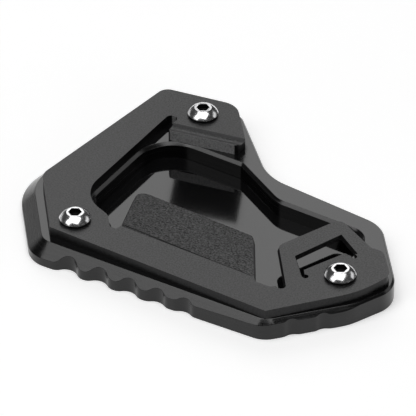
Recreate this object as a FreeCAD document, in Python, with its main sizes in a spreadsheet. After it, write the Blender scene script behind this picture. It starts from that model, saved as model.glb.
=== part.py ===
import FreeCAD
import Part
import Sketcher
import math
import os

# Kickstand foot enlarger, in millimetres, +Z up, resting on the ground at z = 0.
# A thick base plate has a pocket for the end of the kickstand. A thin clamp plate lies on it
# and three button head screws pull the two plates together round the kickstand's foot.
# X runs along the front edge of the clamp plate, +Y is the rear, and the origin is the centre
# of the base plate's outline, at the ground.

doc = FreeCAD.newDocument("KickstandFootEnlarger")
sheet = doc.addObject("Spreadsheet::Sheet", "Sizes")
aliases = []
shared = {}


def size_cell(alias, value):
    """Put one driving dimension in the sheet, under a name."""
    aliases.append(alias)
    row = len(aliases)
    sheet.set("A%d" % row, alias)
    sheet.set("B%d" % row, str(value))
    sheet.setAlias("B%d" % row, alias)


def corner_cells(group, corners):
    """Put the corners of an outline in the sheet: sharp point x, y and rounding radius.

    A coordinate that names another size shares that size's cell.
    """
    for name, x, y, radius in corners:
        for letter, value in (("x", x), ("y", y), ("r", radius)):
            alias = "%s_%s_%s" % (group, name, letter)
            if isinstance(value, str):
                shared[alias] = value
            elif letter != "r" or value:
                size_cell(alias, value)
    return [("%s_%s" % (group, name), bool(radius)) for name, x, y, radius in corners]


def size(alias):
    """The number that the sheet holds for a name."""
    return float(sheet.get(shared.get(alias, alias)))


def cell(alias):
    """The sheet's name for an expression."""
    return "<<Sizes>>." + shared.get(alias, alias)


# Base plate
size_cell("base_thickness", 7.5)
size_cell("pocket_floor", 1.2)
size_cell("pocket_rim_chamfer", 1.05)
size_cell("base_right_edge", 75.65)
size_cell("base_left_edge", -64.0)
size_cell("base_front_edge", -48.4)
size_cell("base_rear_edge", 53.3)
base_corners = corner_cells("base", (
    ("front_left", -40.3, "base_front_edge", 11.0),
    ("front_right", 47.95, -42.65, 9.0),
    ("right_bend", 67.75, -20.45, 20.0),
    ("right", "base_right_edge", -3.1, 11.0),
    ("rear_right", 54.1, 24.15, 12.0),
    ("waist", 7.2, 27.25, 21.0),
    ("rear", -19.75, "base_rear_edge", 6.0),
    ("rear_left", -55.2, 46.9, 6.0),
    ("left", "base_left_edge", -20.0, 22.0),
))
pocket_corners = corner_cells("pocket", (
    ("rear_left", -37.15, 27.85, 14.0),
    ("rear", -4.0, 27.9, 1.5),
    ("waist", 17.1, 16.5, 11.0),
    ("rear_right", 53.0, 16.45, 6.0),
    ("right", 53.95, -0.5, 1.5),
    ("lug", 46.95, -15.7, 3.0),
    ("front_right", 45.9, -27.2, 2.0),
    ("front_left", -20.0, -28.0, 1.5),
    ("left_waist", -24.2, -23.3, 4.0),
    ("left", -37.15, -18.7, 12.0),
))

# Outside chamfer of the base plate at 45 degrees: its width at both ends of the front edge and
# along each other side
size_cell("chamfer_slope", 45.0)
size_cell("front_chamfer_left_end", 4.45)
size_cell("front_chamfer_right_end", 1.9)
size_cell("front_right_chamfer", 1.5)
size_cell("right_chamfer", 0.8)
size_cell("rear_chamfer", 0.75)
size_cell("left_chamfer", 4.7)

# Scallops: round cutters whose centres lie on a line just outside the edge
size_cell("scallop_radius", 4.6)
size_cell("scallop_cusp_radius", 3.8)
size_cell("front_scallop_out_left", 1.68)
size_cell("front_scallop_out_right", 4.27)
size_cell("front_scallop_first", 14.55)
size_cell("front_scallop_pitch", 11.9)
size_cell("front_scallop_pitch_ratio", 0.955)
size_cell("side_scallop_out", 3.95)
size_cell("side_scallop_first", 9.85)
size_cell("side_scallop_pitch", 10.85)

# Clamp plate
size_cell("clamp_thickness", 3.5)
size_cell("clamp_right_edge", 72.6)
size_cell("clamp_left_edge", -56.3)
size_cell("clamp_front_edge", -40.5)
size_cell("clamp_rear_edge", 53.0)
clamp_corners = corner_cells("clamp", (
    ("front_left", -37.15, "clamp_front_edge", 0),
    ("front_right", 47.45, "clamp_front_edge", 0),
    ("right_bend", 68.45, -15.55, 35.0),
    ("right", "clamp_right_edge", -2.6, 4.0),
    ("lug_end", 64.3, 7.3, 3.0),
    ("lug_heel", 58.0, 7.0, 0),
    ("tip", -7.9, 36.9, 0),
    ("rear", -21.3, "clamp_rear_edge", 8.0),
    ("rear_left", -48.5, 48.1, 4.0),
    ("left", "clamp_left_edge", -17.0, 6.0),
))
size_cell("lip_right_edge", -8.1)
size_cell("window_front_edge", -27.0)
window_corners = corner_cells("window", (
    ("slot_left", -38.35, 35.6, 1.9),
    ("slot_right", -34.4, 35.5, 1.9),
    ("lip_left", -33.95, 26.5, 2.0),
    ("lip_right", "lip_right_edge", 31.7, 1.5),
    ("gap_left", "lip_right_edge", 50.0, 0),
    ("gap_right", 62.4, 10.7, 0),
    ("right_step_foot", 56.3, -0.6, 0),
    ("lug_shoulder", 53.85, -0.3, 0),
    ("lug_foot", 46.95, -15.2, 0),
    ("left_step_head", 48.8, -17.6, 0),
    ("left_step_foot", 46.4, -23.9, 0),
    ("dip_right", 42.4, -28.8, 1.5),
    ("dip_left", 36.8, -29.0, 2.0),
    ("root_right", 34.6, "window_front_edge", 0),
    ("root_left", -17.2, "window_front_edge", 0),
    ("notch_right", -17.9, -29.6, 0.8),
    ("notch_left", -20.2, -29.6, 1.3),
    ("notch_waist", -24.7, -24.4, 3.0),
    ("notch_far", -38.5, -19.5, 13.6),
))
relief_names = ("foot_relief", "step_relief", "shoulder_relief")
for relief, x, y, diameter in (("foot_relief", 44.9, -26.4, 3.2),
                               ("step_relief", 49.2, -17.9, 2.0),
                               ("shoulder_relief", 57.4, -0.2, 2.0)):
    size_cell(relief + "_x", x)
    size_cell(relief + "_y", y)
    size_cell(relief + "_diameter", diameter)

# Lip at the rear of the window: it stands proud of the plate and carries a cove
size_cell("lip_depth", 5.4)
size_cell("lip_proud", 0.4)
size_cell("cove_radius", 3.4)
size_cell("cove_depth", 0.8)
size_cell("cove_overrun", 2.0)
lip_edge_corners = [("window_lip_left", True), ("window_lip_right", True)] + corner_cells("lip_edge", (
    ("back_right", "lip_right_edge", 34.5, 0),
    ("back_left", -34.09, 29.3, 0),
))

# Tongue that slopes from the front bar down into the pocket: its corners are measured in its own
# sloped face, from the left end of its root
size_cell("tongue_slope", 11.7)
size_cell("tongue_roll", 1.1)
size_cell("tongue_thickness", 2.4)
size_cell("tongue_flare", 20.0)
size_cell("tongue_root_drop", 0.2)
size_cell("tongue_root_edge", -1.2)
size_cell("tongue_end_edge", 25.9)
tongue_corners = corner_cells("tongue", (
    ("root_left", 0.5, "tongue_root_edge", 0),
    ("root_right", 53.1, "tongue_root_edge", 0),
    ("end_right", 36.4, "tongue_end_edge", 3.0),
    ("end_left", -9.8, "tongue_end_edge", 3.0),
))

# Hook that closes the pocket at the right
size_cell("hook_thickness", 1.5)
size_cell("hook_flare", 20.0)
hook_corners = corner_cells("hook", (
    ("foot_outside", 47.1, -26.1, 0),
    ("foot_inside", 50.8, -20.7, 0),
    ("left_inside", 39.3, -8.2, 0),
    ("right_inside", 46.4, 10.2, 0),
    ("end_inside", 58.5, 2.7, 0),
    ("end_outside", 60.6, 8.2, 0),
    ("right_outside", 41.8, 17.4, 3.0),
    ("left_outside", 31.7, -6.1, 3.0),
))

# Screws: M6 button heads with a hexagon socket
screw_names = ("screw_rear", "screw_left", "screw_right")
for screw, x, y in (("screw_rear", -28.3, 41.7), ("screw_left", -32.3, -32.5), ("screw_right", 58.7, -11.5)):
    size_cell(screw + "_x", x)
    size_cell(screw + "_y", y)
size_cell("thread_diameter", 6.0)
size_cell("thread_clearance", 0.1)
size_cell("clamp_hole_clearance", 0.6)
size_cell("thread_length", 10.0)
size_cell("thread_chamfer", 0.5)
size_cell("head_diameter", 10.8)
size_cell("head_height", 3.2)
size_cell("head_rim", 0.5)
size_cell("head_flat_diameter", 5.0)
size_cell("head_dome_radius", 6.4)
size_cell("socket_width", 4.0)
size_cell("socket_depth", 2.0)
doc.recompute()


def new_body(name):
    """A body for one solid, named as its part."""
    body = doc.addObject("PartDesign::Body", name)
    body.Label = name
    return body


def new_sketch(body, name, plane, level=""):
    """A sketch on one of the body's own planes, raised by an expression of the sheet."""
    sketch = body.newObject("Sketcher::SketchObject", name)
    support = [f for f in body.Origin.OriginFeatures if f.Role == plane][0]
    sketch.AttachmentSupport = [(support, "")]
    sketch.MapMode = "FlatFace"
    if level:
        sketch.setExpression("AttachmentOffset.Base.z", level)
    return sketch


def bind(sketch, constraint, expression):
    """Add a constraint and tie its value to an expression."""
    index = sketch.addConstraint(constraint)
    sketch.setExpression("Constraints[%d]" % index, expression)


def locate(sketch, geometry, end, name):
    """Hold a point of a sketch at the x and y of a named corner."""
    bind(sketch, Sketcher.Constraint("DistanceX", -1, 1, geometry, end, size(name + "_x")), cell(name + "_x"))
    bind(sketch, Sketcher.Constraint("DistanceY", -1, 1, geometry, end, size(name + "_y")), cell(name + "_y"))


def corner_point(name):
    """The sharp point of a named corner."""
    return FreeCAD.Vector(size(name + "_x"), size(name + "_y"), 0)


def unit(start, end):
    """The direction from one point to another."""
    return (end - start).normalize()


def draw_outline(sketch, points, radii, hold):
    """Draw a closed outline of lines with tangent arcs at its rounded corners.

    points are the sharp corners in order and radii their roundings, 0 where a corner stays sharp.
    hold(i, geometry, end) adds the constraints that hold corner i.
    """
    count = len(points)
    inward = [unit(points[i - 1], points[i]) for i in range(count)]
    reach = []
    for i in range(count):
        turn = inward[i].getAngle(inward[(i + 1) % count])
        reach.append(radii[i] * math.tan(turn / 2))
    lines = []
    for i in range(count):
        after = (i + 1) % count
        start = points[i] + inward[after] * reach[i]
        end = points[after] - inward[after] * reach[after]
        lines.append(sketch.addGeometry(Part.LineSegment(start, end), False))
    for i in range(count):
        before, following = lines[i - 1], lines[i]
        if not radii[i]:
            sketch.addConstraint(Sketcher.Constraint("Coincident", before, 2, following, 1))
            hold(i, following, 1)
            continue
        heading, leaving = inward[i], inward[(i + 1) % count]
        half = heading.getAngle(leaving) / 2
        centre = points[i] + (leaving - heading).normalize() * (radii[i] / math.cos(half))
        start = points[i] - heading * reach[i] - centre
        end = points[i] + leaving * reach[i] - centre
        left_turn = heading.cross(leaving).z > 0
        first, last = (start, end) if left_turn else (end, start)
        circle = Part.Circle(centre, FreeCAD.Vector(0, 0, 1), radii[i])
        arc = sketch.addGeometry(Part.ArcOfCircle(circle, math.atan2(first.y, first.x), math.atan2(last.y, last.x)))
        entry, leave = (1, 2) if left_turn else (2, 1)
        sketch.addConstraint(Sketcher.Constraint("Tangent", before, 2, arc, entry))
        sketch.addConstraint(Sketcher.Constraint("Tangent", arc, leave, following, 1))
        point = sketch.addGeometry(Part.Point(points[i]), True)
        sketch.addConstraint(Sketcher.Constraint("PointOnObject", point, 1, before))
        sketch.addConstraint(Sketcher.Constraint("PointOnObject", point, 1, following))
        hold(i, point, 1)
        hold.radius(i, arc)


class HoldCorners:
    """Holds each corner of an outline at its own cells."""

    def __init__(self, sketch, corners):
        self.sketch = sketch
        self.names = [name for name, rounded in corners]

    def __call__(self, i, geometry, end):
        locate(self.sketch, geometry, end, self.names[i])

    def radius(self, i, arc):
        alias = self.names[i] + "_r"
        bind(self.sketch, Sketcher.Constraint("Radius", arc, size(alias)), cell(alias))


def outline_sketch(body, name, corners, level=""):
    """A horizontal sketch of one outline of the sheet."""
    sketch = new_sketch(body, name, "XY_Plane", level)
    points = [corner_point(corner) for corner, rounded in corners]
    radii = [size(corner + "_r") if rounded else 0 for corner, rounded in corners]
    draw_outline(sketch, points, radii, HoldCorners(sketch, corners))
    return sketch


def pad(body, sketch, length, name, taper="", downward=False):
    """Raise a sketch by a length, or lower it, with a flare where taper names one."""
    feature = body.newObject("PartDesign::Pad", name)
    feature.Profile = sketch
    feature.Reversed = downward
    feature.setExpression("Length", length)
    if taper:
        feature.setExpression("TaperAngle", taper)
    return feature


def cut_through(body, sketch, name):
    """Cut a sketch through the whole body, both ways."""
    feature = body.newObject("PartDesign::Pocket", name)
    feature.Profile = sketch
    feature.Type = "ThroughAll"
    feature.Midplane = True
    return feature


def draw_circle(sketch, name, diameter, diameter_cell):
    """A circle at the x and y of a named point."""
    circle = Part.Circle(corner_point(name), FreeCAD.Vector(0, 0, 1), diameter / 2)
    geometry = sketch.addGeometry(circle)
    bind(sketch, Sketcher.Constraint("Diameter", geometry, diameter), diameter_cell)
    locate(sketch, geometry, 3, name)


def draw_frame_line(sketch, first, second):
    """A construction line between two named corners."""
    line = sketch.addGeometry(Part.LineSegment(corner_point(first), corner_point(second)), True)
    locate(sketch, line, 1, first)
    locate(sketch, line, 2, second)
    return line


def draw_scallops(sketch, first, second, out, first_place, pitch, ratio, count):
    """Circles in a row outside the edge from one corner to another.

    out names how far the row's line lies outside the edge at its two ends, and ratio is what
    each pitch shrinks by, as an expression and as a number.
    """
    edge = draw_frame_line(sketch, first, second)
    start, end = corner_point(first), corner_point(second)
    outward = unit(start, end).cross(FreeCAD.Vector(0, 0, 1))
    posts = []
    for corner, end_index, distance in ((start, 1, out[0]), (end, 2, out[1])):
        post = sketch.addGeometry(Part.LineSegment(corner, corner + outward * size(distance)), True)
        sketch.addConstraint(Sketcher.Constraint("Coincident", post, 1, edge, end_index))
        sketch.addConstraint(Sketcher.Constraint("Perpendicular", post, edge))
        bind(sketch, Sketcher.Constraint("Distance", post, size(distance)), cell(distance))
        posts.append(corner + outward * size(distance))
    line = sketch.addGeometry(Part.LineSegment(posts[0], posts[1]), True)
    sketch.addConstraint(Sketcher.Constraint("Coincident", line, 1, edge + 1, 2))
    sketch.addConstraint(Sketcher.Constraint("Coincident", line, 2, edge + 2, 2))
    place, spacing, spacing_cell = 0.0, size(first_place), cell(first_place)
    before, before_end = line, 1
    for i in range(count):
        place = place + spacing
        centre = posts[0] + unit(posts[0], posts[1]) * place
        circle = sketch.addGeometry(Part.Circle(centre, FreeCAD.Vector(0, 0, 1), size("scallop_radius")))
        bind(sketch, Sketcher.Constraint("Radius", circle, size("scallop_radius")), cell("scallop_radius"))
        sketch.addConstraint(Sketcher.Constraint("PointOnObject", circle, 3, line))
        bind(sketch, Sketcher.Constraint("Distance", before, before_end, circle, 3, spacing), spacing_cell)
        before, before_end = circle, 3
        spacing = size(pitch) * ratio[1] ** i
        spacing_cell = "%s * %s ^ %d" % (cell(pitch), ratio[0], i)


class HoldInset:
    """Holds each corner of an outline at a distance inside the two sides of a construction frame."""

    def __init__(self, sketch, corners, widths):
        self.sketch = sketch
        self.names = [name for name, rounded in corners]
        self.widths = widths
        self.sides = []

    def frame(self):
        count = len(self.names)
        for i in range(count):
            start, end = self.names[i], self.names[(i + 1) % count]
            line = self.sketch.addGeometry(Part.LineSegment(corner_point(start), corner_point(end)), True)
            locate(self.sketch, line, 1, start)
            locate(self.sketch, line, 2, end)
            self.sides.append(line)

    def points(self):
        count = len(self.names)
        sharp = [corner_point(name) for name in self.names]
        found = []
        for i in range(count):
            before, after = self.widths[i - 1][1], self.widths[i][0]
            heading, leaving = unit(sharp[i - 1], sharp[i]), unit(sharp[i], sharp[(i + 1) % count])
            sine = heading.cross(leaving).z
            found.append(sharp[i] + heading * (-size(after) / sine) + leaving * (size(before) / sine))
        return found

    def inset_radius(self, i):
        wider = max(self.widths[i - 1][1], self.widths[i][0], key=size)
        return size(self.names[i] + "_r") + self.side(i) * size(wider), wider

    def side(self, i):
        sharp = [corner_point(name) for name in self.names]
        heading, leaving = unit(sharp[i - 1], sharp[i]), unit(sharp[i], sharp[(i + 1) % len(sharp)])
        return -1 if heading.cross(leaving).z > 0 else 1

    def __call__(self, i, geometry, end):
        for side, width in ((self.sides[i - 1], self.widths[i - 1][1]), (self.sides[i], self.widths[i][0])):
            bind(self.sketch, Sketcher.Constraint("Distance", geometry, end, side, size(width)), cell(width))

    def radius(self, i, arc):
        radius, wider = self.inset_radius(i)
        sign = "-" if self.side(i) < 0 else "+"
        expression = "%s %s %s" % (cell(self.names[i] + "_r"), sign, cell(wider))
        bind(self.sketch, Sketcher.Constraint("Radius", arc, radius), expression)


def vertical_edges(shape, test):
    """The names of a shape's vertical edges that pass a test."""
    names = []
    for i, edge in enumerate(shape.Edges):
        if isinstance(edge.Curve, Part.Line) and abs(edge.Curve.Direction.z) > 0.999 and test(edge):
            names.append("Edge%d" % (i + 1))
    return names


def rim_edges(shape, level, contour):
    """The names of the edges of a shape at one level that run along a contour."""
    names = []
    for i, edge in enumerate(shape.Edges):
        level_edge = all(abs(point.z - level) < 0.001 for point in edge.discretize(3))
        if level_edge and contour.distToShape(edge)[0] < 0.001:
            names.append("Edge%d" % (i + 1))
    return names


def cut_screw_holes(body, name, diameter_expression, diameter):
    """The three screw holes, through the whole plate."""
    sketch = new_sketch(body, name, "XY_Plane")
    for screw in screw_names:
        draw_circle(sketch, screw, diameter, diameter_expression)
    cut_through(body, sketch, name + "_cut")


def base_blank():
    """The base plate's outline with straight walls and scallops."""
    body = new_body("base_blank")
    outline = outline_sketch(body, "base_outline", base_corners)
    pad(body, outline, cell("base_thickness"), "base_slab")
    row = new_sketch(body, "front_scallops", "XY_Plane")
    ratio = (cell("front_scallop_pitch_ratio"), size("front_scallop_pitch_ratio"))
    draw_scallops(row, "base_front_left", "base_front_right",
                  ("front_scallop_out_left", "front_scallop_out_right"),
                  "front_scallop_first", "front_scallop_pitch", ratio, 5)
    cut_through(body, row, "front_scallop_cut")
    side_row = new_sketch(body, "side_scallops", "XY_Plane")
    draw_scallops(side_row, "base_front_right", "base_right_bend",
                  ("side_scallop_out", "side_scallop_out"),
                  "side_scallop_first", "side_scallop_pitch", ("1", 1.0), 2)
    side_cut = cut_through(body, side_row, "side_scallop_cut")
    doc.recompute()
    hollows = [f for f in side_cut.Shape.Faces if isinstance(f.Surface, Part.Cylinder)
               and abs(f.Surface.Radius - size("scallop_radius")) < 0.001
               and not f.isInside(f.Surface.Center, 0.001, True)]
    cusps = vertical_edges(side_cut.Shape, lambda edge: any(f.distToShape(edge)[0] < 0.0001 for f in hollows))
    rounding = body.newObject("PartDesign::Fillet", "scallop_cusps")
    rounding.Base = (side_cut, cusps)
    rounding.setExpression("Radius", cell("scallop_cusp_radius"))
    contour = outline_sketch(body, "pocket_outline", pocket_corners, cell("base_thickness"))
    pocket = body.newObject("PartDesign::Pocket", "foot_pocket")
    pocket.Profile = contour
    pocket.setExpression("Length", cell("base_thickness") + " - " + cell("pocket_floor"))
    doc.recompute()
    rim = rim_edges(pocket.Shape, size("base_thickness"), contour.Shape)
    chamfer = body.newObject("PartDesign::Chamfer", "pocket_rim")
    chamfer.Base = (pocket, rim)
    chamfer.setExpression("Size", cell("pocket_rim_chamfer"))
    cut_screw_holes(body, "thread_holes", cell("thread_diameter") + " + " + cell("thread_clearance"),
                    size("thread_diameter") + size("thread_clearance"))
    return body


def base_shoulder():
    """The flat top's outline, flared down and outward: what is common with the blank is chamfered."""
    body = new_body("base_shoulder")
    sketch = new_sketch(body, "shoulder_outline", "XY_Plane", cell("base_thickness"))
    rear = ("rear_chamfer", "rear_chamfer")
    left = ("left_chamfer", "left_chamfer")
    widths = [("front_chamfer_left_end", "front_chamfer_right_end"),
              ("front_right_chamfer", "front_right_chamfer"),
              ("right_chamfer", "right_chamfer"),
              rear, rear, rear, rear, left, left]
    hold = HoldInset(sketch, base_corners, widths)
    hold.frame()
    radii = [hold.inset_radius(i)[0] for i in range(len(base_corners))]
    draw_outline(sketch, hold.points(), radii, hold)
    pad(body, sketch, cell("base_thickness"), "shoulder_flare", cell("chamfer_slope"), downward=True)
    return body


def clamp_frame():
    """The flat frame of the clamp plate, with its window, reliefs, screw holes and proud lip edge."""
    body = new_body("clamp_frame")
    outline = outline_sketch(body, "clamp_outline", clamp_corners, cell("base_thickness"))
    pad(body, outline, cell("clamp_thickness"), "clamp_slab")
    cut_through(body, outline_sketch(body, "clamp_window", window_corners), "clamp_window_cut")
    reliefs = new_sketch(body, "corner_reliefs", "XY_Plane")
    for relief in relief_names:
        draw_circle(reliefs, relief, size(relief + "_diameter"), cell(relief + "_diameter"))
    cut_through(body, reliefs, "corner_relief_cut")
    cut_screw_holes(body, "clearance_holes", cell("thread_diameter") + " + " + cell("clamp_hole_clearance"),
                    size("thread_diameter") + size("clamp_hole_clearance"))
    return body


def clamp_tongue():
    """The tongue: a flared slab in a plane that slopes down from the front bar and rolls to the right."""
    body = new_body("clamp_tongue")
    sketch = outline_sketch(body, "tongue_outline", tongue_corners)
    top = size("base_thickness") + size("clamp_thickness")
    root = FreeCAD.Vector(size("window_root_left_x"), size("window_root_left_y"), top - size("tongue_root_drop"))
    slope = FreeCAD.Rotation(FreeCAD.Vector(1, 0, 0), -size("tongue_slope"))
    roll = FreeCAD.Rotation(FreeCAD.Vector(0, 1, 0), size("tongue_roll"))
    sketch.AttachmentOffset = FreeCAD.Placement(root, slope * roll)
    pad(body, sketch, cell("tongue_thickness"), "tongue_slab", cell("tongue_flare"), downward=True)
    return body


def clamp_hook():
    """The hook: a thin flared strap that rests on the base plate and joins both sides of the lug."""
    body = new_body("clamp_hook")
    level = cell("base_thickness") + " + " + cell("hook_thickness")
    sketch = outline_sketch(body, "hook_outline", hook_corners, level)
    pad(body, sketch, cell("hook_thickness"), "hook_slab", cell("hook_flare"), downward=True)
    return body


def lip_cove(body):
    """The round cutter that a cove along the lip is made with, as long as the lip and its overrun."""
    left, right = corner_point("window_lip_left"), corner_point("window_lip_right")
    along = unit(left, right)
    back = FreeCAD.Vector(0, 0, 1).cross(along)
    rise = size("cove_radius") - size("cove_depth")
    half_width = math.sqrt(size("cove_radius") ** 2 - rise ** 2)
    top = size("base_thickness") + size("clamp_thickness")
    start = left - along * size("cove_overrun") + back * (size("lip_depth") - half_width)
    start.z = top + rise
    cutter = doc.addObject("Part::Cylinder", "cove_cutter")
    cutter.setExpression("Radius", cell("cove_radius"))
    cutter.Height = (right - left).Length + 2 * size("cove_overrun")
    cutter.Placement = FreeCAD.Placement(start, FreeCAD.Rotation(FreeCAD.Vector(0, 0, 1), along))
    cut = doc.addObject("Part::Cut", "clamp_plate")
    cut.Base = body
    cut.Tool = cutter
    return cut


def screw(name):
    """One button head screw: its head's underside lies at its own z = 0 and its thread points down."""
    body = new_body(name)
    profile = new_sketch(body, name + "_profile", "XZ_Plane")
    shank, head, flat = size("thread_diameter") / 2, size("head_diameter") / 2, size("head_flat_diameter") / 2
    length, bevel = size("thread_length"), size("thread_chamfer")
    rim, height = size("head_rim"), size("head_height")
    shank_cell, head_cell = cell("thread_diameter") + " / 2", cell("head_diameter") + " / 2"
    points = (
        (0, -length, "0", "-" + cell("thread_length")),
        (shank - bevel, -length, shank_cell + " - " + cell("thread_chamfer"), "-" + cell("thread_length")),
        (shank, bevel - length, shank_cell, cell("thread_chamfer") + " - " + cell("thread_length")),
        (shank, 0, shank_cell, "0"),
        (head, 0, head_cell, "0"),
        (head, rim, head_cell, cell("head_rim")),
        (flat, height, cell("head_flat_diameter") + " / 2", cell("head_height")),
        (0, height, "0", cell("head_height")),
    )
    count = len(points)
    vectors = [FreeCAD.Vector(x, y, 0) for x, y, x_cell, y_cell in points]
    dome = size("head_dome_radius")
    for i in range(count):
        start, end = vectors[i], vectors[(i + 1) % count]
        if i == 5:
            chord = end - start
            middle = (start + end) / 2
            inward = FreeCAD.Vector(0, 0, 1).cross(chord).normalize()
            centre = middle + inward * math.sqrt(dome ** 2 - (chord.Length / 2) ** 2)
            first, last = start - centre, end - centre
            circle = Part.Circle(centre, FreeCAD.Vector(0, 0, 1), dome)
            arc = Part.ArcOfCircle(circle, math.atan2(first.y, first.x), math.atan2(last.y, last.x))
            profile.addGeometry(arc)
            continue
        profile.addGeometry(Part.LineSegment(start, end))
    for i in range(count):
        profile.addConstraint(Sketcher.Constraint("Coincident", i - 1 if i else count - 1, 2, i, 1))
        x, y, x_cell, y_cell = points[i]
        if x_cell == "0":
            profile.addConstraint(Sketcher.Constraint("PointOnObject", i, 1, -2))
        else:
            bind(profile, Sketcher.Constraint("DistanceX", -1, 1, i, 1, x), x_cell)
        if y_cell == "0":
            profile.addConstraint(Sketcher.Constraint("PointOnObject", i, 1, -1))
        else:
            bind(profile, Sketcher.Constraint("DistanceY", -1, 1, i, 1, y), y_cell)
    bind(profile, Sketcher.Constraint("Radius", 5, dome), cell("head_dome_radius"))
    turned = body.newObject("PartDesign::Revolution", name + "_turned")
    turned.Profile = profile
    turned.ReferenceAxis = (profile, ["V_Axis"])
    turned.Angle = 360
    hexagon = new_sketch(body, name + "_hexagon", "XY_Plane", cell("head_height"))
    reach = size("socket_width") / 2 / math.cos(math.radians(30))
    ring = hexagon.addGeometry(Part.Circle(FreeCAD.Vector(0, 0, 0), FreeCAD.Vector(0, 0, 1), reach), True)
    tips = [FreeCAD.Vector(reach * math.cos(math.radians(60 * i)), reach * math.sin(math.radians(60 * i)), 0)
            for i in range(6)]
    for i in range(6):
        hexagon.addGeometry(Part.LineSegment(tips[i], tips[(i + 1) % 6]))
    hexagon.addConstraint(Sketcher.Constraint("Coincident", ring, 3, -1, 1))
    bind(hexagon, Sketcher.Constraint("Radius", ring, reach), cell("socket_width") + " / 2 / cos(30 deg)")
    for i in range(6):
        side, before = ring + 1 + i, ring + 1 + (i - 1) % 6
        hexagon.addConstraint(Sketcher.Constraint("Coincident", before, 2, side, 1))
        hexagon.addConstraint(Sketcher.Constraint("PointOnObject", side, 1, ring))
        if i:
            hexagon.addConstraint(Sketcher.Constraint("Equal", side, ring + 1))
    hexagon.addConstraint(Sketcher.Constraint("PointOnObject", ring + 1, 1, -1))
    socket = body.newObject("PartDesign::Pocket", name + "_socket")
    socket.Profile = hexagon
    socket.setExpression("Length", cell("socket_depth"))
    return body


blank = base_blank()
shoulder = base_shoulder()
base_plate = doc.addObject("Part::Common", "base_plate")
base_plate.Base = blank
base_plate.Tool = shoulder
frame = clamp_frame()
edge = new_body("lip_edge")
lip_sketch = outline_sketch(edge, "lip_edge_outline", lip_edge_corners, cell("base_thickness"))
pad(edge, lip_sketch, cell("clamp_thickness") + " + " + cell("lip_proud"), "lip_edge_slab")
whole = doc.addObject("Part::MultiFuse", "clamp_whole")
whole.Shapes = [frame, edge, clamp_tongue(), clamp_hook()]
clamp_plate = lip_cove(whole)
screws = [screw(name) for name in screw_names]
doc.recompute()

# The whole part stands with its origin under the middle of the base plate's outline
centre = base_plate.Shape.optimalBoundingBox().Center
for plate in (base_plate, clamp_plate):
    plate.Placement = FreeCAD.Placement(FreeCAD.Vector(-centre.x, -centre.y, 0), FreeCAD.Rotation())
for body in screws:
    body.setExpression("Placement.Base.x", "%s - %r" % (cell(body.Label + "_x"), centre.x))
    body.setExpression("Placement.Base.y", "%s - %r" % (cell(body.Label + "_y"), centre.y))
    body.setExpression("Placement.Base.z", cell("base_thickness") + " + " + cell("clamp_thickness"))
doc.recompute()

sub_parts = [base_plate, clamp_plate] + screws
for item in doc.Objects:
    if "Invalid" in item.State or "Error" in item.State:
        raise RuntimeError("failed: " + item.Label)
for item in sub_parts:
    if item.Shape.isNull() or not item.Shape.isValid() or len(item.Shape.Solids) != 1:
        raise RuntimeError("not one valid solid: " + item.Label)

os.makedirs("parts", exist_ok=True)
for item in sub_parts:
    item.Shape.exportStep("parts/%s.step" % item.Label)
    print(item.Label, round(item.Shape.Volume), item.Shape.optimalBoundingBox())
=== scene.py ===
"""Looks of the kickstand foot enlarger: two black anodised plates and three polished screws."""

import logging
import math
from dataclasses import dataclass, field
from enum import Enum

import bpy
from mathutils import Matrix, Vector


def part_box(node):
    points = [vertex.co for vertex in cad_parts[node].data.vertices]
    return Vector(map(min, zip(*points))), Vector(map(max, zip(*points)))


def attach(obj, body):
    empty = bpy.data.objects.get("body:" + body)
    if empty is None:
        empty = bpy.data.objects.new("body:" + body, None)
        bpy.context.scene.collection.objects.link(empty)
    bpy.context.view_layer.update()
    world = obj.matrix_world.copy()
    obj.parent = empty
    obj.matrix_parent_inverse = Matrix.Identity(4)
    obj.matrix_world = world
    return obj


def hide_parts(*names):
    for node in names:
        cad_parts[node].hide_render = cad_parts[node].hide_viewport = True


LOG = logging.getLogger("foot_enlarger")
MM = 0.001
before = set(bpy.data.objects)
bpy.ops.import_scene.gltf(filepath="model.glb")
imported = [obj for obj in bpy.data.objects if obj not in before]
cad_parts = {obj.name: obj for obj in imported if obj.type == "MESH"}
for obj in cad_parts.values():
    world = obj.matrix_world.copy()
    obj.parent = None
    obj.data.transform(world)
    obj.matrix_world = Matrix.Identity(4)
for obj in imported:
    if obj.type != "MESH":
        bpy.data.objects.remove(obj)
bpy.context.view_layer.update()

Colour = tuple[float, float, float]
Span = tuple[float, float]
Socket = bpy.types.NodeSocket

# From the middle of the right screw to the point that the camera looks at.
AIM_FROM_SCREW = Vector((-58.7, 11.5, 0.4)) * MM
# How far the lip's edge stands above the clamp plate's top.
LIP_PROUD = 0.4 * MM
# The refractive index of the anodic layer.
ANODIC_IOR = 1.77
# The steps of a broken edge, and how much a face's area counts in the normals.
EDGE_STEPS = 2
AREA_WEIGHT = 100


class Slot(Enum):
    """The material slots' names."""

    GLOSS = "gloss_anodised"
    SATIN = "satin_anodised"
    STEEL = "polished_steel"


class Mix(Enum):
    """What a blend mixes: its data type and how its sockets' names end."""

    COLOUR = ("RGBA", "Color")
    VALUE = ("FLOAT", "Float")


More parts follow.
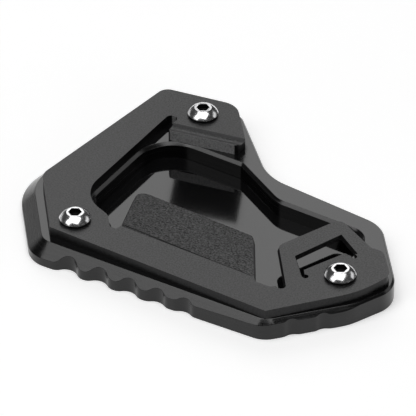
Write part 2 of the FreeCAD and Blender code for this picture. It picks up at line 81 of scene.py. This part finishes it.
class NodeTree:
    """A short way to write a material's or a group's nodes."""

    def __init__(self, tree: bpy.types.NodeTree) -> None:
        """Keep the tree and clear it.

        Args:
            tree: the node tree to fill.
        """
        self.tree = tree
        self.tree.nodes.clear()

    def add(self, kind: str, **values: object) -> bpy.types.Node:
        """Add a node and set its attributes.

        Args:
            kind: the node's type name.
            values: attributes to set on the node.

        Returns:
            The new node.
        """
        node = self.tree.nodes.new(kind)
        for name, value in values.items():
            setattr(node, name, value)
        return node

    def link(self, source: Socket, target: Socket) -> None:
        """Join an output to an input.

        Args:
            source: the output.
            target: the input.
        """
        self.tree.links.new(source, target)

    def group(self, group: bpy.types.NodeTree, **values: float) -> bpy.types.Node:
        """Add a node group and set its inputs.

        Args:
            group: the node group.
            values: the values of its inputs.

        Returns:
            The group's node.
        """
        node = self.add("ShaderNodeGroup", node_tree=group)
        for name, value in values.items():
            node.inputs[name].default_value = value
        return node

    def give(self, name: str, source: Socket) -> None:
        """Give the node group one more output.

        Args:
            name: the output's name.
            source: the value that it gives out.
        """
        self.tree.interface.new_socket(name, in_out="OUTPUT", socket_type="NodeSocketFloat")
        ends = [node for node in self.tree.nodes if node.bl_idname == "NodeGroupOutput"]
        end = ends[0] if ends else self.add("NodeGroupOutput")
        self.link(source, end.inputs[name])

    def show(self, surface: Socket) -> None:
        """Show a shader on the material's surface.

        Args:
            surface: the shader's output.
        """
        end = self.add("ShaderNodeOutputMaterial")
        self.link(surface, end.inputs["Surface"])

    def split(self, vector: Socket) -> bpy.types.Node:
        """Split a vector.

        Args:
            vector: the vector.

        Returns:
            The node with its X, Y and Z.
        """
        node = self.add("ShaderNodeSeparateXYZ")
        self.link(vector, node.inputs["Vector"])
        return node

    def ramp(self, source: Socket, low: float, high: float, to_low: float = 0.0,
             to_high: float = 1.0) -> Socket:
        """Add a straight ramp that stays inside its ends.

        Args:
            source: the value that it reads.
            low: the value where it starts.
            high: the value where it ends.
            to_low: what it gives at its start.
            to_high: what it gives at its end.

        Returns:
            The ramp's value.
        """
        node = self.add("ShaderNodeMapRange")
        ends = {"From Min": low, "From Max": high, "To Min": to_low, "To Max": to_high}
        for name, value in ends.items():
            node.inputs[name].default_value = value
        self.link(source, node.inputs["Value"])
        return node.outputs["Result"]

    def between(self, mask: Socket, limits: Span) -> Socket:
        """Spread a mask over a range.

        Args:
            mask: a value from 0 to 1.
            limits: what it gives at 0 and at 1.

        Returns:
            The spread value.
        """
        return self.ramp(mask, 0.0, 1.0, *limits)

    def blend(self, kind: Mix, factor: Socket, first: object, second: object) -> Socket:
        """Add a mix of two colours or values.

        Args:
            kind: what it mixes.
            factor: how much of the second shows.
            first: a socket, a colour or a number.
            second: a socket, a colour or a number.

        Returns:
            The mixed colour or value.
        """
        data_type, suffix = kind.value
        node = self.add("ShaderNodeMix", data_type=data_type)
        sockets = {socket.identifier: socket for socket in node.inputs}
        self.link(factor, sockets["Factor_Float"])
        for letter, value in (("A", first), ("B", second)):
            socket = sockets["%s_%s" % (letter, suffix)]
            if isinstance(value, Socket):
                self.link(value, socket)
            else:
                socket.default_value = (*value, 1.0) if kind is Mix.COLOUR else value
        return {socket.identifier: socket for socket in node.outputs}["Result_" + suffix]

    def product(self, *masks: Socket) -> Socket:
        """Add the product of some masks.

        Args:
            masks: the masks.

        Returns:
            Their product.
        """
        result = masks[0]
        for mask in masks[1:]:
            node = self.add("ShaderNodeMath", operation="MULTIPLY")
            self.link(result, node.inputs[0])
            self.link(mask, node.inputs[1])
            result = node.outputs["Value"]
        return result

    def bump(self, height: Socket, strength: float, distance: float) -> Socket:
        """Add a bump.

        Args:
            height: the height that it reads.
            strength: how strong it is.
            distance: how deep it is, in metres.

        Returns:
            The bumped normal.
        """
        node = self.add("ShaderNodeBump")
        node.inputs["Strength"].default_value = strength
        node.inputs["Distance"].default_value = distance
        self.link(height, node.inputs["Height"])
        return node.outputs["Normal"]


def new_material(name: str) -> tuple[bpy.types.Material, NodeTree]:
    """Start a material.

    Args:
        name: its name.

    Returns:
        The material and its empty nodes.
    """
    material = bpy.data.materials.new(name)
    material.use_nodes = True
    return material, NodeTree(material.node_tree)


@dataclass(frozen=True)
class Grain:
    """The fine grain of blasted and anodised metal."""

    scale: float = 2000.0
    detail: float = 2.0
    roughness: float = 0.6
    contrast: Span = (0.32, 0.68)

    def build(self) -> bpy.types.NodeTree:
        """Make the node group.

        Returns:
            The group, with input Scale and outputs Mask and Height.
        """
        group = bpy.data.node_groups.new("anodised_grain", "ShaderNodeTree")
        nodes = NodeTree(group)
        scale = group.interface.new_socket("Scale", in_out="INPUT", socket_type="NodeSocketFloat")
        scale.default_value = self.scale
        start = nodes.add("NodeGroupInput")
        place = nodes.add("ShaderNodeTexCoord")
        noise = nodes.add("ShaderNodeTexNoise")
        noise.inputs["Detail"].default_value = self.detail
        noise.inputs["Roughness"].default_value = self.roughness
        nodes.link(place.outputs["Object"], noise.inputs["Vector"])
        nodes.link(start.outputs["Scale"], noise.inputs["Scale"])
        nodes.give("Mask", nodes.ramp(noise.outputs["Fac"], *self.contrast))
        nodes.give("Height", noise.outputs["Fac"])
        return group


@dataclass(frozen=True)
class Streaks:
    """The streaks that a cutter leaves along walls and bevels, level all round the part.

    The spans of tilt are the Z of a face's normal, 1 on a level face and 0 on an upright one.
    """

    waves_per_metre: tuple[float, float, float] = (60.0, 60.0, 3200.0)
    detail: float = 3.0
    roughness: float = 0.65
    contrast: Span = (0.3, 0.7)
    facet_tilt: Span = (0.97, 0.93)
    wall_tilt: Span = (0.5, 0.2)
    corner_tilt: Span = (0.1, 0.2)
    corner_height: Span = (1.8 * MM, 1.6 * MM)

    def build(self) -> bpy.types.NodeTree:
        """Make the node group.

        Returns:
            The group, with outputs Mask, Height, Facet, which is 1 on sloped faces, Wall, 1 on
            upright ones, and a last output, 1 on the narrow edge round the pocket's floor, where
            shade is painted.
        """
        group = bpy.data.node_groups.new("cutter_streaks", "ShaderNodeTree")
        nodes = NodeTree(group)
        place = nodes.add("ShaderNodeTexCoord")
        streaks = self.noise(nodes, place.outputs["Object"])
        tilt = nodes.split(place.outputs["Normal"]).outputs["Z"]
        facet = nodes.ramp(tilt, *self.facet_tilt)
        height = nodes.split(place.outputs["Object"]).outputs["Z"]
        # Painted shade goes on this narrow edge round the pocket's floor.
        corner = nodes.product(nodes.ramp(height, *self.corner_height), facet,
                               nodes.ramp(tilt, *self.corner_tilt))
        nodes.give("Mask", nodes.ramp(streaks, *self.contrast))
        nodes.give("Height", streaks)
        nodes.give("Facet", facet)
        nodes.give("Wall", nodes.ramp(tilt, *self.wall_tilt))
        nodes.give("CornerShade", corner)
        return group

    def noise(self, nodes: NodeTree, place: Socket) -> Socket:
        """Add the noise, stretched along the walls.

        Args:
            nodes: the group's nodes.
            place: the coordinates that it follows.

        Returns:
            The noise's value.
        """
        mapping = nodes.add("ShaderNodeMapping")
        mapping.inputs["Scale"].default_value = self.waves_per_metre
        nodes.link(place, mapping.inputs["Vector"])
        noise = nodes.add("ShaderNodeTexNoise")
        noise.inputs["Scale"].default_value = 1.0
        noise.inputs["Detail"].default_value = self.detail
        noise.inputs["Roughness"].default_value = self.roughness
        nodes.link(mapping.outputs["Vector"], noise.inputs["Vector"])
        return noise.outputs["Fac"]


@dataclass(frozen=True)
class GlossFinish:
    """Black anodised aluminium that was polished flat, with brushed bevels and walls.

    Where it is dull, less of the anodic layer's shine shows over the nearly black metal. On the
    walls and on the narrow edge round the pocket's floor, that dullness is painted shade.
    """

    dark: Colour = (0.0015, 0.0015, 0.0016)
    light: Colour = (0.006, 0.006, 0.0064)
    grain_scale: float = 2600.0
    flat_roughness: Span = (0.035, 0.075)
    facet_roughness: Span = (0.14, 0.30)
    shine: float = 0.5
    facet_dullness: float = 0.24
    # Painted shade: upright walls are made duller, so they render darker.
    wall_painted_shade: float = 0.5
    # Painted shade: the narrow edge round the pocket's floor is made fully dull, so it renders black.
    corner_painted_shade: float = 1.0
    flat_height: float = 0.5
    bump: Span = (0.4, 0.01 * MM)

    def build(self, grain: bpy.types.NodeTree, streaks: bpy.types.NodeTree) -> bpy.types.Material:
        """Make the material.

        Args:
            grain: the grain's node group.
            streaks: the streaks' node group.

        Returns:
            The material.
        """
        material, nodes = new_material(Slot.GLOSS.value)
        shader = nodes.add("ShaderNodeBsdfPrincipled")
        shader.inputs["IOR"].default_value = ANODIC_IOR
        shader.inputs["Specular IOR Level"].default_value = self.shine
        speckle = nodes.group(grain, Scale=self.grain_scale).outputs["Mask"]
        brush = nodes.group(streaks).outputs
        facet = brush["Facet"]
        mask = nodes.blend(Mix.VALUE, facet, speckle, brush["Mask"])
        colour = nodes.blend(Mix.COLOUR, mask, self.dark, self.light)
        roughness = nodes.blend(Mix.VALUE, facet, nodes.between(speckle, self.flat_roughness),
                                nodes.between(brush["Mask"], self.facet_roughness))
        dull = nodes.between(facet, (0.0, self.facet_dullness))
        # Painted shade: darker upright walls.
        dull = nodes.blend(Mix.VALUE, brush["Wall"], dull, self.wall_painted_shade)
        # Painted shade: the narrow edge round the pocket's floor is darkened.
        dull = nodes.blend(Mix.VALUE, brush["CornerShade"], dull, self.corner_painted_shade)
        height = nodes.blend(Mix.VALUE, facet, self.flat_height, brush["Height"])
        nodes.link(colour, shader.inputs["Base Color"])
        nodes.link(roughness, shader.inputs["Roughness"])
        nodes.link(dull, shader.inputs["Metallic"])
        nodes.link(nodes.bump(height, *self.bump), shader.inputs["Normal"])
        nodes.show(shader.outputs["BSDF"])
        return material


@dataclass(frozen=True)
class BlastedFinish:
    """Black anodised aluminium that was blasted: fine on the frame, coarse on the tongue and the lip,
    whose front carries painted light.

    The spans of tilt and facing are the Z and the Y of a face's normal. Where it is dull, less of
    the anodic layer's shine shows over the black metal; on the walls and the cove's steeper faces
    that dullness is painted shade.
    """

    fine_dark: Colour = (0.002, 0.002, 0.002)
    fine_light: Colour = (0.018, 0.018, 0.019)
    # The coarse grain's dark end, which is also the colour of the painted shade lines at the tongue's
    # root.
    coarse_dark_and_root_shade: Colour = (0.0, 0.0, 0.0)
    coarse_light: Colour = (0.070, 0.070, 0.071)
    # Painted light: the lip's front is coloured light grey, though the metal is black anodised.
    lip_painted_light_dark: Colour = (0.15, 0.15, 0.152)
    lip_painted_light_bright: Colour = (0.38, 0.38, 0.383)
    fine_scale: float = 1900.0
    coarse_scale: float = 1550.0
    roughness: Span = (0.30, 0.46)
    shine: float = 0.57
    frame_dullness: Span = (0.474, 0.0)
    tongue_dullness: Span = (0.86, 0.088)
    # Painted shade: the clamp's walls and the cove's steeper faces are made duller, so they render
    # darker.
    wall_painted_shade: float = 0.754
    # Painted shade: the lines along the tongue's root lose their shine.
    root_painted_shade: float = 0.912
    fine_height: Span = (0.0, 0.35)
    bump: Span = (0.8, 0.16 * MM)
    rear_from: Span = (22.0 * MM, 22.5 * MM)
    slope_tilt: Span = (0.995, 0.985)
    tongue_tilt: Span = (0.93, 0.96)
    frame_tilt: Span = (0.1, 0.7)
    cove_tilt: Span = (0.90, 0.995)
    lip_facing: Span = (-0.90, -0.96)
    root_middle: float = -28.84 * MM
    root_between: Span = (0.15 * MM, 0.3 * MM)
    root_outside: Span = (0.9 * MM, 0.7 * MM)
    root_ends: Span = (-22.7 * MM, 29.1 * MM)
    root_fade: float = 0.5 * MM

    def build(self, grain: bpy.types.NodeTree) -> bpy.types.Material:
        """Make the material.

        Args:
            grain: the grain's node group.

        Returns:
            The material.
        """
        material, nodes = new_material(Slot.SATIN.value)
        shader = nodes.add("ShaderNodeBsdfPrincipled")
        shader.inputs["IOR"].default_value = ANODIC_IOR
        shader.inputs["Specular IOR Level"].default_value = self.shine
        fine = nodes.group(grain, Scale=self.fine_scale).outputs
        coarse = nodes.group(grain, Scale=self.coarse_scale).outputs
        sloped, level, lip, root = self.masks(nodes)
        frame_colour = nodes.blend(Mix.COLOUR, fine["Mask"], self.fine_dark, self.fine_light)
        tongue_colour = nodes.blend(Mix.COLOUR, coarse["Mask"], self.coarse_dark_and_root_shade, self.coarse_light)
        lip_painted_light_colour = nodes.blend(Mix.COLOUR, coarse["Mask"], self.lip_painted_light_dark, self.lip_painted_light_bright)
        colour = nodes.blend(Mix.COLOUR, sloped, frame_colour, tongue_colour)
        # Painted light on the lip's front: a light grey colour.
        colour = nodes.blend(Mix.COLOUR, lip, colour, lip_painted_light_colour)
        # Painted shade: dark lines along the crease at the tongue's root.
        colour = nodes.blend(Mix.COLOUR, root, colour, self.coarse_dark_and_root_shade)
        dull = nodes.blend(Mix.VALUE, sloped, nodes.between(fine["Mask"], self.frame_dullness),
                           nodes.between(coarse["Mask"], self.tongue_dullness))
        # Painted shade: walls, and in the rear the cove's steeper faces, are darkened.
        dull = nodes.blend(Mix.VALUE, level, self.wall_painted_shade, dull)
        # Painted shade: the lines along the tongue's root are dulled to black.
        dull = nodes.blend(Mix.VALUE, root, dull, self.root_painted_shade)
        # Painted light on the lip's front: full shine.
        dull = nodes.blend(Mix.VALUE, lip, dull, 0.0)
        height = nodes.blend(Mix.VALUE, sloped, nodes.between(fine["Height"], self.fine_height),
                             coarse["Height"])
        nodes.link(colour, shader.inputs["Base Color"])
        nodes.link(dull, shader.inputs["Metallic"])
        nodes.link(nodes.between(fine["Mask"], self.roughness), shader.inputs["Roughness"])
        nodes.link(nodes.bump(height, *self.bump), shader.inputs["Normal"])
        nodes.show(shader.outputs["BSDF"])
        return material

    def masks(self, nodes: NodeTree) -> tuple[Socket, Socket, Socket, Socket]:
        """Find the places of the finish.

        Args:
            nodes: the material's nodes.

        Returns:
            Masks that are 1 on the tongue's slope, on level faces, on the lip's front, where light is
            painted, and on the lines of painted shade along the tongue's root.
        """
        place = nodes.add("ShaderNodeTexCoord")
        normal = nodes.split(place.outputs["Normal"]).outputs
        point = nodes.split(place.outputs["Object"]).outputs
        rear = nodes.ramp(point["Y"], *self.rear_from)
        sloped = nodes.product(nodes.ramp(normal["Z"], *self.slope_tilt),
                               nodes.ramp(normal["Z"], *self.tongue_tilt),
                               nodes.between(rear, (1.0, 0.0)))
        level = nodes.blend(Mix.VALUE, rear, nodes.ramp(normal["Z"], *self.frame_tilt),
                            nodes.ramp(normal["Z"], *self.cove_tilt))
        # This mask marks the lip's front, where light is painted.
        lip = nodes.product(nodes.ramp(normal["Y"], *self.lip_facing), rear)
        return sloped, level, lip, self.root_painted_shade_lines(nodes, point)

    def root_painted_shade_lines(self, nodes: NodeTree, point: bpy.types.bpy_prop_collection) -> Socket:
        """Paint two dark lines of shade along the crease at the tongue's root.

        Args:
            nodes: the material's nodes.
            point: the X, Y and Z of the place.

        Returns:
            A mask that is 1 on the painted shade lines.
        """
        away = nodes.add("ShaderNodeMath", operation="SUBTRACT")
        nodes.link(point["Y"], away.inputs[0])
        away.inputs[1].default_value = self.root_middle
        reach = nodes.add("ShaderNodeMath", operation="ABSOLUTE")
        nodes.link(away.outputs["Value"], reach.inputs[0])
        start, stop = self.root_ends
        return nodes.product(nodes.ramp(reach.outputs["Value"], *self.root_between),
                             nodes.ramp(reach.outputs["Value"], *self.root_outside),
                             nodes.ramp(point["X"], start, start + self.root_fade),
                             nodes.ramp(point["X"], stop, stop - self.root_fade))


@dataclass(frozen=True)
class SteelFinish:
    """Stainless steel, polished, or near black where shade is painted in the socket and under the
    head.
    """

    name: str
    colour: Colour
    roughness: Span
    grain_scale: float = 900.0

    def build(self, grain: bpy.types.NodeTree) -> bpy.types.Material:
        """Make the material.

        Args:
            grain: the grain's node group.

        Returns:
            The material.
        """
        material, nodes = new_material(self.name)
        shader = nodes.add("ShaderNodeBsdfPrincipled")
        shader.inputs["Base Color"].default_value = (*self.colour, 1.0)
        shader.inputs["Metallic"].default_value = 1.0
        wear = nodes.group(grain, Scale=self.grain_scale).outputs["Mask"]
        nodes.link(nodes.between(wear, self.roughness), shader.inputs["Roughness"])
        nodes.show(shader.outputs["BSDF"])
        return material


def select_only(piece: bpy.types.Object) -> None:
    """Make a piece the only one that operators act on.

    Args:
        piece: the piece.
    """
    bpy.ops.object.select_all(action="DESELECT")
    bpy.context.view_layer.objects.active = piece
    piece.select_set(True)


def break_edges(piece: bpy.types.Object, name: str, width: float, angle: float) -> None:
    """Bevel the sharp edges of a piece.

    Args:
        piece: the active piece.
        name: the modifier's name.
        width: the bevel's width.
        angle: the least angle of an edge that is broken.
    """
    bevel = piece.modifiers.new(name, "BEVEL")
    bevel.width = width
    bevel.segments = EDGE_STEPS
    bevel.limit_method = "ANGLE"
    bevel.angle_limit = angle
    bpy.ops.object.modifier_apply(modifier=bevel.name)


def shade(piece: bpy.types.Object, angle: float) -> None:
    """Shade a piece smooth, with normals that keep the shine of its flat faces straight.

    Args:
        piece: the active piece.
        angle: the least angle of an edge that stays sharp.
    """
    bpy.ops.object.shade_smooth_by_angle(angle=angle)
    weighted = piece.modifiers.new("flat_faces", "WEIGHTED_NORMAL")
    weighted.keep_sharp = True
    weighted.weight = AREA_WEIGHT
    bpy.ops.object.modifier_apply(modifier=weighted.name)


@dataclass
class Plate:
    """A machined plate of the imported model, with its edges broken."""

    node: str
    slot: Slot
    material: bpy.types.Material
    break_width: float = 0.12 * MM
    merge: float = 0.002 * MM
    coplanar: float = math.radians(0.5)
    smooth_angle: float = math.radians(28)

    def build(self) -> bpy.types.Object:
        """Copy the node, weld it, break its sharp edges and put it in the node's place.

        Returns:
            The finished plate.
        """
        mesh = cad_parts[self.node].data.copy()
        piece = bpy.data.objects.new(self.node + "_finished", mesh)
        bpy.context.scene.collection.objects.link(piece)
        select_only(piece)
        bpy.ops.object.mode_set(mode="EDIT")
        bpy.ops.mesh.select_all(action="SELECT")
        bpy.ops.mesh.remove_doubles(threshold=self.merge)
        bpy.ops.mesh.dissolve_limited(angle_limit=self.coplanar)
        bpy.ops.object.mode_set(mode="OBJECT")
        break_edges(piece, "broken_edges", self.break_width, self.smooth_angle)
        shade(piece, self.smooth_angle)
        piece.data.materials.clear()
        piece.data.materials.append(self.material)
        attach(piece, "root")
        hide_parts(self.node)
        return piece


@dataclass
class ButtonScrew:
    """A button head screw with a hexagon socket, turned about its own axis."""

    node: str
    polished: bpy.types.Material
    # Near-black steel: painted shade in the socket and under the head.
    socket: bpy.types.Material
    sides: int = 72
    shank_radius: float = 3.0 * MM
    tip_bevel: float = 0.5 * MM
    head_radius: float = 5.4 * MM
    foot_radius: float = 4.75 * MM
    rim: Span = (0.8 * MM, 1.12 * MM)
    rim_bevel: Span = (0.08 * MM, 0.1 * MM)
    dome_radius: float = 6.4 * MM
    dome_steps: int = 12
    flat_radius: float = 2.75 * MM
    socket_width: float = 4.0 * MM
    socket_depth: float = 2.0 * MM
    socket_bevel: float = 0.16 * MM
    socket_angle: float = math.radians(55)
    # Depth below the top where the socket stays polished; deeper faces get painted shade.
    shade_free_depth: float = 0.2 * MM
    floor_slack: float = 0.1 * MM
    downward: float = 0.1
    smooth_angle: float = math.radians(32)

    @property
    def socket_reach(self) -> float:
        """Give the distance from the axis to the socket's corners."""
        return self.socket_width / 2 / math.cos(math.radians(30))

    def profile(self, low: float, seat: float, high: float) -> list[Span]:
        """List the rings from the tip up to the edge of the flat.

        Args:
            low: the height of the tip.
            seat: the height of the head's underside.
            high: the height of the head's top.

        Returns:
            The radius and height of each ring.
        """
        bottom, top = (seat + height for height in self.rim)
        inward, upward = self.rim_bevel
        rings = [(self.shank_radius - self.tip_bevel, low), (self.shank_radius, low + self.tip_bevel),
                 (self.shank_radius, seat), (self.foot_radius, seat),
                 (self.head_radius - inward, bottom - upward),
                 (self.head_radius, bottom), (self.head_radius, top)]
        start = Vector((self.head_radius, top))
        end = Vector((self.flat_radius, high))
        chord = end - start
        across = Vector((-chord.y, chord.x)).normalized()
        rise = math.sqrt(self.dome_radius ** 2 - (chord.length / 2) ** 2)
        centre = (start + end) / 2 + across * rise
        first = math.atan2(start.y - centre.y, start.x - centre.x)
        last = math.atan2(end.y - centre.y, end.x - centre.x)
        for step in range(1, self.dome_steps + 1):
            turn = first + (last - first) * step / self.dome_steps
            rings.append((centre.x + self.dome_radius * math.cos(turn),
                          centre.y + self.dome_radius * math.sin(turn)))
        return rings

    def build(self) -> bpy.types.Object:
        """Turn the screw, cut its socket and put it in the node's place.

        Returns:
            The finished screw.
        """
        low, high = (Vector(corner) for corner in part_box(self.node))
        axis = (low + high) / 2
        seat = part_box("clamp_plate")[1][2] - LIP_PROUD
        rings = self.profile(low.z, seat, high.z)
        bpy.ops.object.select_all(action="DESELECT")
        bpy.ops.mesh.primitive_circle_add(vertices=self.sides, radius=rings[0][0], fill_type="NGON",
                                          location=(axis.x, axis.y, rings[0][1]))
        piece = bpy.context.active_object
        piece.name = self.node + "_finished"
        bpy.ops.object.transform_apply(location=True, rotation=True, scale=True)
        bpy.ops.object.mode_set(mode="EDIT")
        bpy.ops.mesh.select_all(action="SELECT")
        for (radius, height), (wider, higher) in zip(rings, rings[1:]):
            lift = {"value": (0, 0, higher - height)}
            bpy.ops.mesh.extrude_region_move(TRANSFORM_OT_translate=lift)
            bpy.ops.transform.resize(value=(wider / radius, wider / radius, 1),
                                     center_override=(axis.x, axis.y, higher))
        bpy.ops.mesh.select_all(action="SELECT")
        bpy.ops.mesh.normals_make_consistent(inside=False)
        bpy.ops.object.mode_set(mode="OBJECT")
        self.cut_socket(piece, axis, high.z)
        shade(piece, self.smooth_angle)
        self.dress(piece, axis, seat, high.z)
        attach(piece, "root")
        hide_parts(self.node)
        return piece

    def cut_socket(self, piece: bpy.types.Object, axis: Vector, top: float) -> None:
        """Cut the hexagon socket and break its edge.

        Args:
            piece: the screw.
            axis: a point on its axis.
            top: the height of its top.
        """
        bpy.ops.object.select_all(action="DESELECT")
        bpy.ops.mesh.primitive_cylinder_add(vertices=6, radius=self.socket_reach,
                                            depth=2 * self.socket_depth,
                                            location=(axis.x, axis.y, top))
        cutter = bpy.context.active_object
        cut = piece.modifiers.new("socket", "BOOLEAN")
        cut.operation = "DIFFERENCE"
        cut.solver = "EXACT"
        cut.object = cutter
        select_only(piece)
        bpy.ops.object.modifier_apply(modifier=cut.name)
        bpy.data.objects.remove(cutter)
        break_edges(piece, "socket_edge", self.socket_bevel, self.socket_angle)

    def dress(self, piece: bpy.types.Object, axis: Vector, seat: float, top: float) -> None:
        """Give the head its polish, and the socket and the underside a near-black steel as painted
        shade.

        Args:
            piece: the screw.
            axis: a point on its axis.
            seat: the height of the head's underside.
            top: the height of its top.
        """
        piece.data.materials.clear()
        piece.data.materials.append(self.polished)
        piece.data.materials.append(self.socket)
        floor = top - self.socket_depth - self.floor_slack
        # Painted shade: faces deep in the socket and under the head get the near-black steel.
        for face in piece.data.polygons:
            inside = (face.center.xy - axis.xy).length < self.socket_reach
            in_socket = inside and floor < face.center.z < top - self.shade_free_depth
            underneath = face.normal.z < self.downward and face.center.z < seat + self.rim[0]
            if in_socket or underneath:
                face.material_index = 1


@dataclass(frozen=True)
class SoftBox:
    """A soft box: azimuth is 0 in front and 90 at the right, angles in degrees, sizes in metres."""

    name: str
    azimuth: float
    elevation: float
    distance: float
    size: Span
    radiance: float


SOFT_BOXES = (
    SoftBox("rear_box", 212.0, 38.0, 1.6, (1.5, 0.9), 1.28),
    SoftBox("front_left_box", -29.0, 45.0, 1.6, (0.8, 0.7), 1.45),
    SoftBox("top_box", 14.0, 78.0, 1.6, (1.7, 1.4), 2.1),
    SoftBox("left_box", -90.0, 8.0, 1.6, (1.2, 0.36), 0.5),
    SoftBox("rear_right_box", 140.0, 26.0, 1.6, (0.9, 0.5), 0.7),
    SoftBox("right_box", 72.0, 16.0, 1.6, (1.3, 0.6), 0.8),
)


def direction(azimuth: float, elevation: float) -> Vector:
    """Give the direction from the part to a place round it.

    Args:
        azimuth: the turn from the front to the right, in radians.
        elevation: the rise from the ground, in radians.

    Returns:
        The direction, of length 1.
    """
    return Vector((math.sin(azimuth) * math.cos(elevation),
                   -math.cos(azimuth) * math.cos(elevation),
                   math.sin(elevation)))


@dataclass
class Studio:
    """The camera, the pale floor, the dark card and the soft light."""

    target: Vector
    floor_size: float = 8.0
    floor_colour: Colour = (0.95, 0.95, 0.95)
    floor_lift: float = 0.32
    ambient: float = 0.05
    flag_mirrored: Vector = field(default_factory=lambda: Vector((-16.5, 14.6, 1.2)) * MM)
    flag_size: Span = (28.0 * MM, 21.0 * MM)
    flag_turn: float = math.radians(-11.0)
    flag_reach: float = 0.2
    azimuth: float = math.radians(32.2)
    elevation: float = math.radians(37.0)
    distance: float = 1.2
    lens: float = 306.3
    sensor_width: float = 36.0
    view_limit: float = 20.0

    def camera(self) -> None:
        """Place the camera at the photograph's angle."""
        data = bpy.data.cameras.new("camera")
        data.lens = self.lens
        data.sensor_width = self.sensor_width
        data.clip_end = self.view_limit
        back = direction(self.azimuth, self.elevation)
        camera = bpy.data.objects.new("camera", data)
        camera.location = self.target + back * self.distance
        camera.rotation_euler = (-back).to_track_quat("-Z", "Y").to_euler()
        bpy.context.scene.collection.objects.link(camera)
        bpy.context.scene.camera = camera

    def floor(self) -> None:
        """Lay the pale floor, which the camera and mirrors see lighter than the light on it."""
        bpy.ops.object.select_all(action="DESELECT")
        bpy.ops.mesh.primitive_plane_add(size=self.floor_size, location=(0, 0, 0))
        floor = bpy.context.active_object
        floor.name = "floor"
        material, nodes = new_material("floor")
        matt = nodes.add("ShaderNodeBsdfDiffuse")
        matt.inputs["Color"].default_value = (*self.floor_colour, 1.0)
        glow = nodes.add("ShaderNodeEmission")
        rays = nodes.add("ShaderNodeLightPath")
        seen = rays.outputs["Is Camera Ray"]
        for kind in ("Is Glossy Ray", "Is Transmission Ray"):
            either = nodes.add("ShaderNodeMath", operation="MAXIMUM")
            nodes.link(seen, either.inputs[0])
            nodes.link(rays.outputs[kind], either.inputs[1])
            seen = either.outputs["Value"]
        nodes.link(nodes.between(seen, (0.0, self.floor_lift)), glow.inputs["Strength"])
        both = nodes.add("ShaderNodeAddShader")
        nodes.link(matt.outputs["BSDF"], both.inputs[0])
        nodes.link(glow.outputs["Emission"], both.inputs[1])
        nodes.show(both.outputs["Shader"])
        floor.data.materials.append(material)

    def flag(self) -> None:
        """Hang the small dark card that the polished pocket floor mirrors below the lip."""
        view = direction(self.azimuth, self.elevation)
        mirrored = Vector((-view.x, -view.y, view.z))
        bpy.ops.object.select_all(action="DESELECT")
        bpy.ops.mesh.primitive_plane_add(size=1.0)
        card = bpy.context.active_object
        card.name = "flag"
        card.scale = (*self.flag_size, 1.0)
        bpy.ops.object.transform_apply(location=False, rotation=False, scale=True)
        card.rotation_euler = mirrored.to_track_quat("Z", "Y").to_euler()
        card.rotation_euler.rotate_axis("Z", self.flag_turn)
        card.location = self.flag_mirrored + mirrored * self.flag_reach
        material, nodes = new_material("flag")
        matt = nodes.add("ShaderNodeBsdfDiffuse")
        matt.inputs["Color"].default_value = (0.0, 0.0, 0.0, 1.0)
        nodes.show(matt.outputs["BSDF"])
        card.data.materials.append(material)
        card.visible_camera = False
        card.visible_diffuse = False
        card.visible_transmission = False

    def world(self) -> None:
        """Surround the part with faint light."""
        world = bpy.data.worlds.new("studio")
        bpy.context.scene.world = world
        world.use_nodes = True
        nodes = NodeTree(world.node_tree)
        sky = nodes.add("ShaderNodeBackground")
        sky.inputs["Strength"].default_value = self.ambient
        end = nodes.add("ShaderNodeOutputWorld")
        nodes.link(sky.outputs["Background"], end.inputs["Surface"])

    def lamp(self, box: SoftBox) -> None:
        """Hang one soft box that looks at the part.

        Args:
            box: its place, size and light.
        """
        data = bpy.data.lights.new(box.name, "AREA")
        data.shape = "RECTANGLE"
        data.size, data.size_y = box.size
        data.energy = box.radiance * math.pi * box.size[0] * box.size[1]
        back = direction(math.radians(box.azimuth), math.radians(box.elevation))
        lamp = bpy.data.objects.new(box.name, data)
        lamp.location = back * box.distance
        lamp.rotation_euler = (-back).to_track_quat("-Z", "Y").to_euler()
        bpy.context.scene.collection.objects.link(lamp)

    def build(self) -> None:
        """Build the whole studio."""
        bpy.context.scene.view_settings.view_transform = "Standard"
        self.camera()
        self.floor()
        self.flag()
        self.world()
        for box in SOFT_BOXES:
            self.lamp(box)


def main() -> None:
    """Build every piece and the studio."""
    logging.basicConfig(level=logging.INFO)
    grain, streaks = Grain().build(), Streaks().build()
    gloss, blasted = GlossFinish().build(grain, streaks), BlastedFinish().build(grain)
    polished = SteelFinish(Slot.STEEL.value, (0.86, 0.86, 0.87), (0.15, 0.22)).build(grain)
    # Painted shade for the socket and the head's underside.
    socket = SteelFinish("painted_shade_steel", (0.03, 0.03, 0.03), (0.45, 0.6)).build(grain)
    sub_assemblies = (Plate("base_plate", Slot.GLOSS, gloss),
                      Plate("clamp_plate", Slot.SATIN, blasted, break_width=0.18 * MM),
                      ButtonScrew("screw_rear", polished, socket),
                      ButtonScrew("screw_left", polished, socket),
                      ButtonScrew("screw_right", polished, socket))
    for sub_assembly in sub_assemblies:
        piece = sub_assembly.build()
        LOG.info("%s has %d faces", piece.name, len(piece.data.polygons))
    low, high = (Vector(corner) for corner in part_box("screw_right"))
    Studio(target=(low + high) / 2 + AIM_FROM_SCREW).build()


if __name__ == "__main__":
    main()
